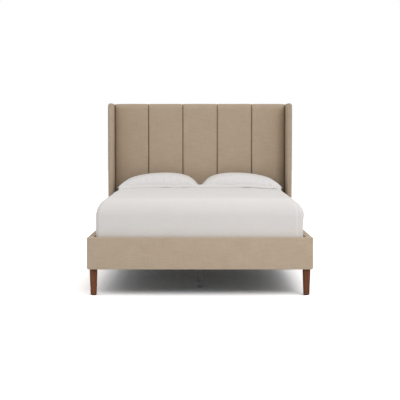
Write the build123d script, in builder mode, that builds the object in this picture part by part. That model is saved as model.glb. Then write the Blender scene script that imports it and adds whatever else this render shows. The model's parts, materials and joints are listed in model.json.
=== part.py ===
from build123d import *
import os

os.makedirs("parts", exist_ok=True)

# A queen bed with an upholstered frame: a channelled headboard between two side wings, padded
# rails, four turned legs and a centre beam on levelling feet. It carries a mattress, a coverlet,
# a turned-down sheet and two pillows. X runs across the bed, -Y is the foot and +Z is up. The
# origin is on the floor, under the middle of the bed. Pieces of the right side are modelled and
# mirrored for the left side.

# Mattress, which sets the width and the length of the bed
mattress_width = 1516
mattress_length = 2032
mattress_height = 340
mattress_side_gap = 19.5  # mattress to the side rails
mattress_foot_gap = 17  # mattress to the foot rail
mattress_head_gap = 8
mattress_sink = 63  # top of the rails to the top of the slats
mattress_shoulder = 95
mattress_base_radius = 25
ticking = 3

# Outer sizes of the frame
leg_height = 193  # floor to the underside of the rails
rail_height = 234
rail_thickness = 48  # side rails, foot rail and wings, from fabric to fabric
headboard_height = 1464  # floor to the top of the channels
wing_rise = 2  # top of the channels to the top of the wings
wing_depth = 292  # front edge of a wing to the back of the headboard

# Upholstery
fabric = 2
rail_foam = 12  # pad on the outer face of a rail
rail_top_foam = 6
wing_inner_foam = 8
wing_outer_foam = 12
wing_edge_foam = 16  # pad on the front and top edges of a wing
wing_crown = 26  # radius of a wing's top outer edge
wing_edge_radius = 8
wing_lip = 6  # rounding round a wing's front face
rail_corner = 12  # radius of the foot rail's lower corners
rail_edge = 5
rail_lip = 4
tack_gap = 14  # strip of bare board under a rail or wing, between the tacked hems

# Headboard
channel_pitch = 314
channel_foam = 40
channel_top_foam = 10
channel_low = 400  # floor to the lower edge of the channels
channel_radius = 8
channel_gap = 1
deck_thickness = 12
post_width = 60
post_depth = 35
cross_rail_height = 60
low_cross_rail_height = 150
back_board_thickness = 4

# Fittings
bolt_radius = 4
bolt_head_radius = 7.5
bolt_head_height = 4.5
bolt_length = 34
bolt_play = 0.5  # radial, in plates, covers and foam
wing_bolt_length = 88
wing_bolt_gap = 90  # a wing bolt to the cross rail beside it
plate_thickness = 4
plate_height = 80
plate_rise = 17  # underside of the rails to a plate's lower edge
plate_reach = 100  # from a joint to a plate's end
near_bolt = 35  # from a joint to the nearer and the farther bolt
far_bolt = 78

# Legs
leg_inset = 15.5  # outer faces of the frame to a leg's top edge
leg_top_radius = 29
leg_foot_radius = 21
leg_plate_radius = 27
leg_plate_thickness = 5
stud_depth = 45
glide_radius = 17
glide_height = 4

# Mattress support
ledger_width = 30
ledger_height = 40
slat_thickness = 18
slat_width = 70
slat_count = 13
slat_play = 2.5  # slat end to rail
slat_end_gap = 12  # first and last slat to the foot rail and the headboard deck
webbing_width = 30
webbing_thickness = 1.2
webbing_offset = 500
beam_width = 45
beam_height = 70
hanger_thickness = 3
hanger_reach = 45
hanger_side_height = 40
hanger_half_width = 50
hanger_height = 74
hanger_bolt_offset = 38
hanger_bolt_drop = 46  # slat underside to the hanger's bolts
end_play = 1  # a beam or ledger end to what it butts against

# Centre legs
support_pitch = 620
support_count = 3
tube_radius = 15
tube_wall = 2
tube_low = 40  # floor to the lower end of the tube
plug_height = 20
flange_length = 80
flange_thickness = 3
stem_radius = 5
stem_length = 67
stem_play = 0.05
leveller_radius = 20
leveller_height = 8

# Bedding
coverlet_thickness = 5
coverlet_play = 0.5
coverlet_hem_rise = 16  # the mattress's rounded foot to the coverlet's tucked hem
fold_depth = 130
fold_height = 42
fold_end_inset = 58  # end of the turned-down sheet to the side of the mattress
fold_radius = 13
fold_gap = 12.5  # turned-down sheet to the pillows
pillow_end_inset = 36  # a pillow's outer end to the side of the mattress
pillow_depth = 470
pillow_crown = 124  # seam to the top
pillow_belly = 11  # seam to the underside
pillow_swell = 1.2  # a pillow's section along the bed to its section across it, in height
pillow_spacing = 8
pillow_gap = 6  # pillow to the headboard
pillow_play = 0.8  # pillow to the mattress
pillowcase_thickness = 1.5

# Planes that the pieces share
headboard_thickness = (
    fabric + channel_foam + deck_thickness + post_depth + back_board_thickness + fabric
)
bed_width = mattress_width + 2 * (mattress_side_gap + rail_thickness)
bed_length = (
    rail_thickness
    + mattress_foot_gap
    + mattress_length
    + mattress_head_gap
    + headboard_thickness
)
half_width = bed_width / 2
wing_height = headboard_height + wing_rise
foot_face = -bed_length / 2
head_back = bed_length / 2
rail_top = leg_height + rail_height
slat_top = rail_top - mattress_sink
slat_low = slat_top - slat_thickness
frame_inside = half_width - rail_thickness
foot_inside = foot_face + rail_thickness
wing_front = head_back - wing_depth
back_board_face = head_back - fabric - back_board_thickness
deck_back = back_board_face - post_depth
deck_front = deck_back - deck_thickness
channel_face = deck_front - channel_foam - fabric
timber_top = headboard_height - fabric - channel_top_foam
mattress_foot = foot_inside + mattress_foot_gap
mattress_head = mattress_foot + mattress_length
mattress_top = slat_top + mattress_height
panel_half = frame_inside - channel_gap / 2


def block(x, y, z, mode=Mode.ADD):
    """Adds or cuts a block that fills three spans, each a (low, high) pair."""
    with BuildSketch(Plane.XY.offset(z[0])) as footprint:
        with Locations((sum(x) / 2, sum(y) / 2)):
            Rectangle(x[1] - x[0], y[1] - y[0])
    extrude(footprint.sketch, amount=z[1] - z[0], mode=mode)


def rod(start, direction, radius, length, mode=Mode.ADD):
    """Adds or cuts a round rod that runs from start along direction."""
    with BuildSketch(Plane(origin=start, z_dir=direction)) as end:
        Circle(radius)
    extrude(end.sketch, amount=length, mode=mode)


def bar(x, y, z, radii, lip, mode=Mode.ADD):
    """Adds or cuts a bar along Y with a rounded section.

    The radii are those of the lower left, lower right, upper right and upper left corners. The
    edge round the bar's front face is rounded by lip, unless lip is 0.
    """
    with BuildPart(mode=Mode.PRIVATE) as form:
        with BuildSketch(Plane.XZ.offset(-y[1])) as section:
            with Locations((sum(x) / 2, sum(z) / 2)):
                Rectangle(x[1] - x[0], z[1] - z[0])
            corners = ((x[0], z[0]), (x[1], z[0]), (x[1], z[1]), (x[0], z[1]))
            for corner, radius in zip(corners, radii):
                fillet(section.vertices().sort_by_distance(corner)[0], radius)
        extrude(amount=y[1] - y[0])
        if lip:
            fillet(form.faces().sort_by(Axis.Y)[0].edges(), lip)
    add(form.part, mode=mode)


def inset(span, by):
    """A span drawn in by the same amount at both ends."""
    return (span[0] + by, span[1] - by)


def both(reach):
    """A span that reaches as far to the left as to the right."""
    return (-reach, reach)


def save(piece, label):
    piece.part.label = label
    export_step(piece.part, f"parts/{label}.step")


def save_pair(piece, label):
    """Writes a piece of the right side, and its mirror image for the left side."""
    save(piece, f"{label}_right")
    with BuildPart() as twin:
        mirror(piece.part, about=Plane.YZ)
    save(twin, f"{label}_left")


# ---- Bolts: where they start on a plate, and which way they run

plate_z = (leg_height + plate_rise, leg_height + plate_rise + plate_height)
bolt_z = sum(plate_z) / 2
plate_face = frame_inside - plate_thickness
side_foot_bolts = [(plate_face, foot_inside + reach, bolt_z) for reach in (near_bolt, far_bolt)]
side_head_bolts = [(plate_face, wing_front - reach, bolt_z) for reach in (near_bolt, far_bolt)]
wing_plate_bolts = [(plate_face, wing_front + reach, bolt_z) for reach in (near_bolt, far_bolt)]
foot_bolts = [
    (frame_inside - reach, foot_inside + plate_thickness, bolt_z)
    for reach in (near_bolt, far_bolt)
]
post_y = (deck_back, back_board_face)
post_x = (panel_half - post_width, panel_half)
low_rail_z = (leg_height, leg_height + low_cross_rail_height)
top_rail_z = (timber_top - cross_rail_height, timber_top)
middle_z = (low_rail_z[1] + top_rail_z[0]) / 2
middle_rail_z = (middle_z - cross_rail_height / 2, middle_z + cross_rail_height / 2)
wing_bolts_at = [
    (post_x[0], sum(post_y) / 2, height)
    for height in (
        low_rail_z[1] + wing_bolt_gap,
        middle_rail_z[1] + wing_bolt_gap,
        top_rail_z[0] - wing_bolt_gap,
    )
]
hanger_bolt_z = slat_low - hanger_bolt_drop
hanger_foot_bolts = [
    (side * hanger_bolt_offset, foot_inside + hanger_thickness, hanger_bolt_z)
    for side in (-1, 1)
]
hanger_head_bolts = [
    (side * hanger_bolt_offset, deck_front - hanger_thickness, hanger_bolt_z)
    for side in (-1, 1)
]
towards_right = (1, 0, 0)
towards_foot = (0, -1, 0)
towards_head = (0, 1, 0)


def bolts(starts, direction, length=bolt_length):
    """Adds bolts, each with its head on this side of its start."""
    back = tuple(-part for part in direction)
    for start in starts:
        rod(start, direction, bolt_radius, length)
        rod(start, back, bolt_head_radius, bolt_head_height)


def holes(starts, direction, play=0, length=bolt_length):
    """Cuts a hole for each bolt: tight in a board, or with play in what it passes through."""
    for start in starts:
        rod(start, direction, bolt_radius + play, length, mode=Mode.SUBTRACT)


# ---- Foot rail: a board with foam on its face, ends and top, in a fabric cover

rail_z = (leg_height, rail_top)
foam_z = inset(rail_z, fabric)
board_z = (leg_height + fabric, rail_top - fabric - rail_top_foam)
foot_y = (foot_face, foot_inside)
foot_board_x = both(half_width - fabric - rail_foam)
foot_board_y = (foot_face + fabric + rail_foam, foot_inside - fabric)
foot_radii = (rail_corner, rail_corner, rail_edge, rail_edge)
foot_foam_radii = tuple(radius - fabric for radius in foot_radii)

with BuildPart() as foot_rail_board:
    block(foot_board_x, foot_board_y, board_z)
    holes(foot_bolts, towards_foot)
    holes([(-x, y, z) for x, y, z in foot_bolts], towards_foot)
    holes(hanger_foot_bolts, towards_foot)
save(foot_rail_board, "foot_rail_board")

with BuildPart() as foot_rail_foam:
    bar(both(half_width - fabric), inset(foot_y, fabric), foam_z, foot_foam_radii, rail_lip - fabric)
    block(foot_board_x, foot_board_y, board_z, mode=Mode.SUBTRACT)
save(foot_rail_foam, "foot_rail_foam")

with BuildPart() as foot_rail_cover:
    bar(both(half_width), foot_y, rail_z, foot_radii, rail_lip)
    bar(
        both(half_width - fabric),
        inset(foot_y, fabric),
        foam_z,
        foot_foam_radii,
        rail_lip - fabric,
        mode=Mode.SUBTRACT,
    )
    foot_tack_y = (sum(foot_board_y) / 2 - tack_gap / 2, sum(foot_board_y) / 2 + tack_gap / 2)
    block(
        inset(foot_board_x, leg_inset + 2 * leg_top_radius),
        foot_tack_y,
        (leg_height, board_z[0]),
        mode=Mode.SUBTRACT,
    )
    holes(foot_bolts, towards_foot, bolt_play)
    holes([(-x, y, z) for x, y, z in foot_bolts], towards_foot, bolt_play)
    holes(hanger_foot_bolts, towards_foot, bolt_play)
save(foot_rail_cover, "foot_rail_cover")

# ---- Side rails: the same build, butted between the foot rail and the wing

side_x = (frame_inside, half_width)
side_y = (foot_inside, wing_front)
side_board_x = (frame_inside + fabric, half_width - fabric - rail_foam)
side_foam_x = inset(side_x, fabric)
side_radii = (rail_edge,) * 4
side_foam_radii = (rail_edge - fabric,) * 4

with BuildPart() as side_rail_board:
    block(side_board_x, inset(side_y, fabric), board_z)
    holes(side_foot_bolts + side_head_bolts, towards_right)
save_pair(side_rail_board, "side_rail_board")

with BuildPart() as side_rail_foam:
    bar(side_foam_x, inset(side_y, fabric), foam_z, side_foam_radii, 0)
    block(side_board_x, inset(side_y, fabric), board_z, mode=Mode.SUBTRACT)
save_pair(side_rail_foam, "side_rail_foam")

with BuildPart() as side_rail_cover:
    bar(side_x, side_y, rail_z, side_radii, 0)
    bar(side_foam_x, inset(side_y, fabric), foam_z, side_foam_radii, 0, mode=Mode.SUBTRACT)
    block(side_board_x, inset(side_y, fabric), board_z, mode=Mode.SUBTRACT)
    side_tack_x = (sum(side_board_x) / 2 - tack_gap / 2, sum(side_board_x) / 2 + tack_gap / 2)
    block(
        side_tack_x,
        inset(side_y, leg_inset + 2 * leg_top_radius),
        (leg_height, board_z[0]),
        mode=Mode.SUBTRACT,
    )
    holes(side_foot_bolts + side_head_bolts, towards_right, bolt_play)
save_pair(side_rail_cover, "side_rail_cover")

# ---- Wings: a full-height board padded all round, in a fabric cover with a crowned top

wing_y = (wing_front, head_back)
wing_z = (leg_height, wing_height)
wing_board_x = (frame_inside + fabric + wing_inner_foam, half_width - fabric - wing_outer_foam)
wing_board_y = (wing_front + fabric + wing_edge_foam, head_back - fabric)
wing_board_z = (leg_height + fabric, wing_height - fabric - wing_edge_foam)
wing_radii = (wing_edge_radius, wing_edge_radius, wing_crown, wing_edge_radius)
wing_foam_radii = tuple(radius - fabric for radius in wing_radii)
wing_foam_spans = (inset(side_x, fabric), inset(wing_y, fabric), inset(wing_z, fabric))

with BuildPart() as wing_board:
    block(wing_board_x, wing_board_y, wing_board_z)
    holes(wing_plate_bolts, towards_right)
    holes(wing_bolts_at, towards_right, length=wing_bolt_length)
save_pair(wing_board, "wing_board")

with BuildPart() as wing_foam:
    bar(*wing_foam_spans, wing_foam_radii, wing_lip - fabric)
    block(wing_board_x, wing_board_y, wing_board_z, mode=Mode.SUBTRACT)
    holes(wing_plate_bolts, towards_right, bolt_play, wing_board_x[0] - plate_face)
    holes(wing_bolts_at, towards_right, bolt_play, wing_board_x[0] - post_x[0])
save_pair(wing_foam, "wing_foam")

with BuildPart() as wing_cover:
    bar(side_x, wing_y, wing_z, wing_radii, wing_lip)
    bar(*wing_foam_spans, wing_foam_radii, wing_lip - fabric, mode=Mode.SUBTRACT)
    wing_tack_x = (sum(wing_board_x) / 2 - tack_gap / 2, sum(wing_board_x) / 2 + tack_gap / 2)
    block(
        wing_tack_x,
        (wing_board_y[0], wing_board_y[1] - leg_inset - 2 * leg_top_radius),
        (leg_height, wing_board_z[0]),
        mode=Mode.SUBTRACT,
    )
    holes(wing_plate_bolts, towards_right, bolt_play)
    holes(wing_bolts_at, towards_right, bolt_play, wing_board_x[0] - post_x[0])
save_pair(wing_cover, "wing_cover")

# ---- Headboard frame: two posts and three cross rails, faced with a plywood deck

with BuildPart() as headboard_post:
    block(post_x, post_y, (leg_height, timber_top))
    holes(wing_bolts_at, towards_right, bolt_play, wing_bolt_length)
save_pair(headboard_post, "headboard_post")

with BuildPart() as headboard_cross_rails:
    for height in (low_rail_z, middle_rail_z, top_rail_z):
        block(both(post_x[0]), post_y, height)
    holes(hanger_head_bolts, towards_head)
save(headboard_cross_rails, "headboard_cross_rails")

with BuildPart() as headboard_deck:
    block(both(panel_half), (deck_front, deck_back), (leg_height, timber_top))
    holes(hanger_head_bolts, towards_head, bolt_play)
save(headboard_deck, "headboard_deck")

with BuildPart() as headboard_back_board:
    block(
        both(panel_half),
        (back_board_face, back_board_face + back_board_thickness),
        (leg_height, timber_top),
    )
save(headboard_back_board, "headboard_back_board")

with BuildPart() as headboard_back_cover:
    block(both(panel_half), (head_back - fabric, head_back), (leg_height, headboard_height))
save(headboard_back_cover, "headboard_back_cover")

# ---- Channels: five pads side by side on the deck, each turned over its top edge

channel_back = head_back - fabric


def channel(x, by, radius, mode=Mode.ADD):
    """Adds or cuts one channel across the x span, its outer faces drawn in by the given amount."""
    with BuildPart(mode=Mode.PRIVATE) as form:
        with BuildSketch(Plane.YZ.offset(x[0] + by)):
            with BuildLine():
                Polyline(
                    (channel_face + by, channel_low + by),
                    (deck_front, channel_low + by),
                    (deck_front, timber_top),
                    (channel_back, timber_top),
                    (channel_back, headboard_height - by),
                    (channel_face + by, headboard_height - by),
                    close=True,
                )
            make_face()
        extrude(amount=x[1] - x[0] - 2 * by)
        fillet(form.faces().sort_by(Axis.Y)[0].edges(), radius)
    add(form.part, mode=mode)


seams = [channel_pitch * step for step in (-1.5, -0.5, 0.5, 1.5)]
channel_edges = [-frame_inside] + seams + [frame_inside]
channel_spans = [inset(pair, channel_gap / 2) for pair in zip(channel_edges, channel_edges[1:])]

with BuildPart() as channel_foams:
    for span in channel_spans:
        channel(span, fabric, channel_radius - fabric)
save(channel_foams, "channel_foams")

for number, span in enumerate(channel_spans, start=1):
    with BuildPart() as channel_cover:
        channel(span, 0, channel_radius)
        channel(span, fabric, channel_radius - fabric, mode=Mode.SUBTRACT)
    save(channel_cover, f"channel_cover_{number}")

# ---- Steel plates and the bolts through them

with BuildPart() as foot_corner_bracket:
    block((plate_face, frame_inside), (foot_inside, foot_inside + plate_reach), plate_z)
    block(
        (frame_inside - plate_reach, frame_inside),
        (foot_inside, foot_inside + plate_thickness),
        plate_z,
    )
    holes(side_foot_bolts, towards_right, bolt_play)
    holes(foot_bolts, towards_foot, bolt_play)
save_pair(foot_corner_bracket, "foot_corner_bracket")

with BuildPart() as rail_joint_plate:
    block(
        (plate_face, frame_inside), (wing_front - plate_reach, wing_front + plate_reach), plate_z
    )
    holes(side_head_bolts + wing_plate_bolts, towards_right, bolt_play)
save_pair(rail_joint_plate, "rail_joint_plate")

with BuildPart() as rail_bolts:
    bolts(side_foot_bolts + side_head_bolts + wing_plate_bolts, towards_right)
    bolts(foot_bolts + hanger_foot_bolts[1:], towards_foot)
    bolts(hanger_head_bolts[1:], towards_head)
    mirror(about=Plane.YZ)
save(rail_bolts, "rail_bolts")

with BuildPart() as wing_bolts:
    bolts(wing_bolts_at, towards_right, wing_bolt_length)
    mirror(about=Plane.YZ)
save(wing_bolts, "wing_bolts")

# ---- Turned legs, each screwed to a round plate by a stud, on a nylon glide

leg_axis = leg_inset + leg_top_radius
leg_x = half_width - leg_axis
leg_top = leg_height - leg_plate_thickness
leg_rows = {"front": foot_face + leg_axis, "rear": head_back - leg_axis}
upwards = (0, 0, 1)

for row, leg_y in leg_rows.items():
    with BuildPart() as leg:
        with Locations((leg_x, leg_y, glide_height)):
            Cone(
                leg_foot_radius,
                leg_top_radius,
                leg_top - glide_height,
                align=(Align.CENTER, Align.CENTER, Align.MIN),
            )
        rod((leg_x, leg_y, leg_top - stud_depth), upwards, bolt_radius, stud_depth, Mode.SUBTRACT)
    save_pair(leg, f"{row}_leg")

with BuildPart() as leg_plates:
    for leg_y in leg_rows.values():
        rod((leg_x, leg_y, leg_top), upwards, leg_plate_radius, leg_plate_thickness)
        rod((leg_x, leg_y, leg_top), upwards, bolt_radius, leg_plate_thickness, Mode.SUBTRACT)
    mirror(about=Plane.YZ)
save(leg_plates, "leg_plates")

with BuildPart() as leg_studs:
    for leg_y in leg_rows.values():
        stud_start = (leg_x, leg_y, leg_top - stud_depth)
        rod(stud_start, upwards, bolt_radius, stud_depth + leg_plate_thickness)
    mirror(about=Plane.YZ)
save(leg_studs, "leg_studs")

with BuildPart() as leg_glides:
    for leg_y in leg_rows.values():
        rod((leg_x, leg_y, 0), upwards, glide_radius, glide_height)
    mirror(about=Plane.YZ)
save(leg_glides, "leg_glides")

# ---- Ledgers, centre beam and slats

with BuildPart() as slat_ledger:
    block(
        (frame_inside - ledger_width, frame_inside),
        (foot_inside + end_play, deck_front - end_play),
        (slat_low - ledger_height, slat_low),
    )
save_pair(slat_ledger, "slat_ledger")

beam_z = (slat_low - beam_height, slat_low)
beam_y = (foot_inside + hanger_thickness, deck_front - hanger_thickness)

with BuildPart() as centre_beam:
    block(both(beam_width / 2), inset(beam_y, end_play), beam_z)
save(centre_beam, "centre_beam")


def hanger(wall, out):
    """Adds a beam hanger: a wall plate at Y = wall, with a tray that reaches out along Y."""
    plate_end = wall + out * hanger_thickness
    tray_y = sorted((plate_end, plate_end + out * hanger_reach))
    tray_low = beam_z[0] - hanger_thickness
    block(both(hanger_half_width), sorted((wall, plate_end)), (tray_low, tray_low + hanger_height))
    block(both(beam_width / 2 + hanger_thickness), tray_y, (tray_low, beam_z[0]))
    for side in (-1, 1):
        side_x = sorted((side * beam_width / 2, side * (beam_width / 2 + hanger_thickness)))
        block(side_x, tray_y, (tray_low, beam_z[0] + hanger_side_height))


with BuildPart() as beam_hangers:
    hanger(foot_inside, 1)
    hanger(deck_front, -1)
    holes(hanger_foot_bolts, towards_foot, bolt_play)
    holes(hanger_head_bolts, towards_head, bolt_play)
save(beam_hangers, "beam_hangers")

slat_run = deck_front - foot_inside - 2 * slat_end_gap
slat_pitch = (slat_run - slat_width) / (slat_count - 1)
slats_middle = (foot_inside + deck_front) / 2

with BuildPart() as slats:
    with BuildSketch(Plane.XY.offset(slat_low)):
        with Locations((0, slats_middle)):
            with GridLocations(1, slat_pitch, 1, slat_count):
                Rectangle(2 * (frame_inside - slat_play), slat_width)
    extrude(amount=slat_thickness)
save(slats, "slats")

with BuildPart() as slat_webbing:
    webbing_z = (slat_low - webbing_thickness, slat_low)
    webbing_y = (slats_middle - slat_run / 2, slats_middle + slat_run / 2)
    webbing_x = (webbing_offset - webbing_width / 2, webbing_offset + webbing_width / 2)
    block(webbing_x, webbing_y, webbing_z)
    mirror(about=Plane.YZ)
save(slat_webbing, "slat_webbing")

# ---- Centre legs: steel tubes under the beam, each with a levelling foot on a screwed stem

plug_top = tube_low + plug_height
flange_low = beam_z[0] - flange_thickness

for number in range(support_count):
    support_y = (number - (support_count - 1) / 2) * support_pitch
    with BuildPart() as support_leg:
        rod((0, support_y, tube_low), upwards, tube_radius, flange_low - tube_low)
        block(
            both(beam_width / 2),
            (support_y - flange_length / 2, support_y + flange_length / 2),
            (flange_low, beam_z[0]),
        )
        rod(
            (0, support_y, plug_top),
            upwards,
            tube_radius - tube_wall,
            beam_z[0] - plug_top,
            Mode.SUBTRACT,
        )
        rod((0, support_y, tube_low), upwards, stem_radius + stem_play, plug_height, Mode.SUBTRACT)
    save(support_leg, f"support_leg_{number + 1}")

    with BuildPart() as leveller:
        rod((0, support_y, 0), upwards, leveller_radius, leveller_height)
        rod((0, support_y, leveller_height), upwards, stem_radius, stem_length)
    save(leveller, f"leveller_{number + 1}")

# ---- Mattress: a sprung core in a ticking cover


def cushion(x, y, z, shoulder, base, mode=Mode.ADD):
    """Adds or cuts a block that is rounded by shoulder round its top and by base round its foot."""
    with BuildPart(mode=Mode.PRIVATE) as pad:
        with BuildSketch(Plane.XY.offset(z[0])):
            with Locations((sum(x) / 2, sum(y) / 2)):
                Rectangle(x[1] - x[0], y[1] - y[0])
        extrude(amount=z[1] - z[0])
        fillet(pad.faces().sort_by(Axis.Z)[-1].edges(), shoulder)
        fillet(pad.faces().sort_by(Axis.Z)[0].edges(), base)
    add(pad.part, mode=mode)


mattress_x = both(mattress_width / 2)
mattress_y = (mattress_foot, mattress_head)
mattress_z = (slat_top, mattress_top)
core_spans = (inset(mattress_x, ticking), inset(mattress_y, ticking), inset(mattress_z, ticking))
core_radii = (mattress_shoulder - ticking, mattress_base_radius - ticking)

with BuildPart() as mattress_core:
    cushion(*core_spans, *core_radii)
save(mattress_core, "mattress_core")

with BuildPart() as mattress_cover:
    cushion(mattress_x, mattress_y, mattress_z, mattress_shoulder, mattress_base_radius)
    cushion(*core_spans, *core_radii, mode=Mode.SUBTRACT)
save(mattress_cover, "mattress_cover")

# ---- Coverlet: over the foot, sides and top, with its hem tucked down inside the rails

pillow_width = mattress_width / 2 - pillow_end_inset - pillow_spacing / 2
pillow_back = channel_face - pillow_gap
pillow_front = pillow_back - pillow_depth
fold_end = pillow_front - pillowcase_thickness - fold_gap
fold_start = fold_end - fold_depth


def coverlet_form(out, mode=Mode.ADD):
    """Adds or cuts the mattress's shape, grown by out at the sides, the foot and the top."""
    cushion(
        inset(mattress_x, -out),
        (mattress_foot - out, mattress_head),
        (slat_top, mattress_top + out),
        mattress_shoulder + out,
        mattress_base_radius,
        mode,
    )


with BuildPart() as coverlet:
    coverlet_form(coverlet_play + coverlet_thickness)
    coverlet_form(coverlet_play, mode=Mode.SUBTRACT)
    block(
        both(half_width),
        (foot_face, head_back),
        (slat_top - end_play, slat_top + mattress_base_radius + coverlet_hem_rise),
        mode=Mode.SUBTRACT,
    )
    block(both(half_width), (fold_end, head_back), (slat_top, headboard_height), Mode.SUBTRACT)
save(coverlet, "coverlet")

# ---- Turned-down sheet: a soft roll across the bed in front of the pillows

coverlet_top = mattress_top + coverlet_play + coverlet_thickness

with BuildPart() as sheet_turndown:
    block(
        inset(mattress_x, fold_end_inset),
        (fold_start, fold_end),
        (coverlet_top + coverlet_play, coverlet_top + coverlet_play + fold_height),
    )
    fillet(sheet_turndown.edges(), fold_radius)
save(sheet_turndown, "sheet_turndown")

# ---- Pillows: each a plump pad that comes to a seam all round, in a cotton case


def pillow_section(plane, middle, reach, crown, belly):
    """A face between an upper and a lower half ellipse that meet at the seam."""
    with BuildSketch(plane) as section:
        with Locations(middle):
            Ellipse(reach, crown)
            Rectangle(2 * reach, crown, align=(Align.CENTER, Align.MAX), mode=Mode.SUBTRACT)
            Ellipse(reach, belly)
    return section.sketch


def pillow_form(out, mode=Mode.ADD):
    """Adds or cuts a pillow's shape, grown by out: what its two sections have in common.

    The section along the bed is the deeper one by pillow_swell, so that the two cross.
    """
    middle_x = (pillow_spacing + pillow_width) / 2
    middle_y = (pillow_front + pillow_back) / 2
    reach_x = pillow_width / 2 + out
    reach_y = pillow_depth / 2 + out
    crown = pillow_crown + out
    belly = pillow_belly + out
    across_bed = Plane.XZ.offset(-middle_y - reach_y)
    along_bed = Plane.YZ.offset(middle_x - reach_x)
    front = pillow_section(across_bed, (middle_x, seam_z), reach_x, crown, belly)
    side = pillow_section(
        along_bed, (middle_y, seam_z), reach_y, crown * pillow_swell, belly * pillow_swell
    )
    with BuildPart(mode=Mode.PRIVATE) as pad:
        extrude(front, amount=2 * reach_y)
        extrude(side, amount=2 * reach_x, mode=Mode.INTERSECT)
    add(pad.part, mode=mode)


seam_z = mattress_top + pillow_play + pillowcase_thickness + pillow_belly

with BuildPart() as pillow:
    pillow_form(0)
save_pair(pillow, "pillow")

with BuildPart() as pillowcase:
    pillow_form(pillowcase_thickness)
    pillow_form(0, mode=Mode.SUBTRACT)
save_pair(pillowcase, "pillowcase")
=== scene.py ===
import json
import math

import bmesh
import bpy
import numpy as np
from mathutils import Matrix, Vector

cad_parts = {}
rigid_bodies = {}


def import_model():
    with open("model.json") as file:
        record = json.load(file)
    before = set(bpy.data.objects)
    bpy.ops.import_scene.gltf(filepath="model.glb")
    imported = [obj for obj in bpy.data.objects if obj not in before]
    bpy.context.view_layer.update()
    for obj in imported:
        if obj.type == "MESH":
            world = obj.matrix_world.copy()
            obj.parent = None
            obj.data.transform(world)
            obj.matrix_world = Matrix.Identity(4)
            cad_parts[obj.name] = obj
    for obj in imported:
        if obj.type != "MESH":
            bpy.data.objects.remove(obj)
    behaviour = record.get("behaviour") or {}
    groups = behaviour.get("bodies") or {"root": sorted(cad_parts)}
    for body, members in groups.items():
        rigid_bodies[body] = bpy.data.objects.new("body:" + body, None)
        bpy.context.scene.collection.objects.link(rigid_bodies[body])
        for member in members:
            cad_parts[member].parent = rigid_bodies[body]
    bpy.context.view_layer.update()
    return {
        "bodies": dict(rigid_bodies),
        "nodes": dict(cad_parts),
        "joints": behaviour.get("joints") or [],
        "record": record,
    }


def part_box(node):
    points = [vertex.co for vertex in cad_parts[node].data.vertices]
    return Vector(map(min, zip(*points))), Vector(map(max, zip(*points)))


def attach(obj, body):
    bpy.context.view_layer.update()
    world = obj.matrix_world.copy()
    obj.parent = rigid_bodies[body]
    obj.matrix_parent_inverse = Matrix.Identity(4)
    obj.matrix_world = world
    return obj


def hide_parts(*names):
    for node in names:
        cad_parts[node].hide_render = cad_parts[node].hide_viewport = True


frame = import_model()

nodes = frame["nodes"]

# ---- Headboard carcass
# Two pine posts and three pine cross rails, faced with a plywood deck and backed with a sheet of
# hardboard. The posts are bolted to the wings; everything else is glued and stapled.


def srgb(red, green, blue):
    """A colour as the shader takes it, from its 0 to 255 values."""
    parts = np.array([red, green, blue]) / 255
    linear = np.where(parts <= 0.04045, parts / 12.92, ((parts + 0.055) / 1.055) ** 2.4)
    return (*linear.tolist(), 1.0)


def add_node(tree, kind, inputs=(), **settings):
    """Adds a node to a tree; inputs is (socket, value or linked output) pairs."""
    node = tree.nodes.new(kind)
    for name, value in settings.items():
        setattr(node, name, value)
    for socket, value in inputs:
        if isinstance(value, bpy.types.NodeSocket):
            tree.links.new(value, node.inputs[socket])
        else:
            node.inputs[socket].default_value = value
    return node


def work_out(tree, operation, *values):
    """One step of arithmetic on numbers and linked outputs."""
    return add_node(tree, "ShaderNodeMath", enumerate(values), operation=operation).outputs[0]


def tone_ramp(tree, factor, stops):
    """A colour ramp through stops, each a position and a colour."""
    node = add_node(tree, "ShaderNodeValToRGB", (("Fac", factor),))
    band = node.color_ramp
    while len(band.elements) < len(stops):
        band.elements.new(0.5)
    for element, (position, colour) in zip(band.elements, stops):
        element.position = position
        element.color = colour
    return node.outputs["Color"]


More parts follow.
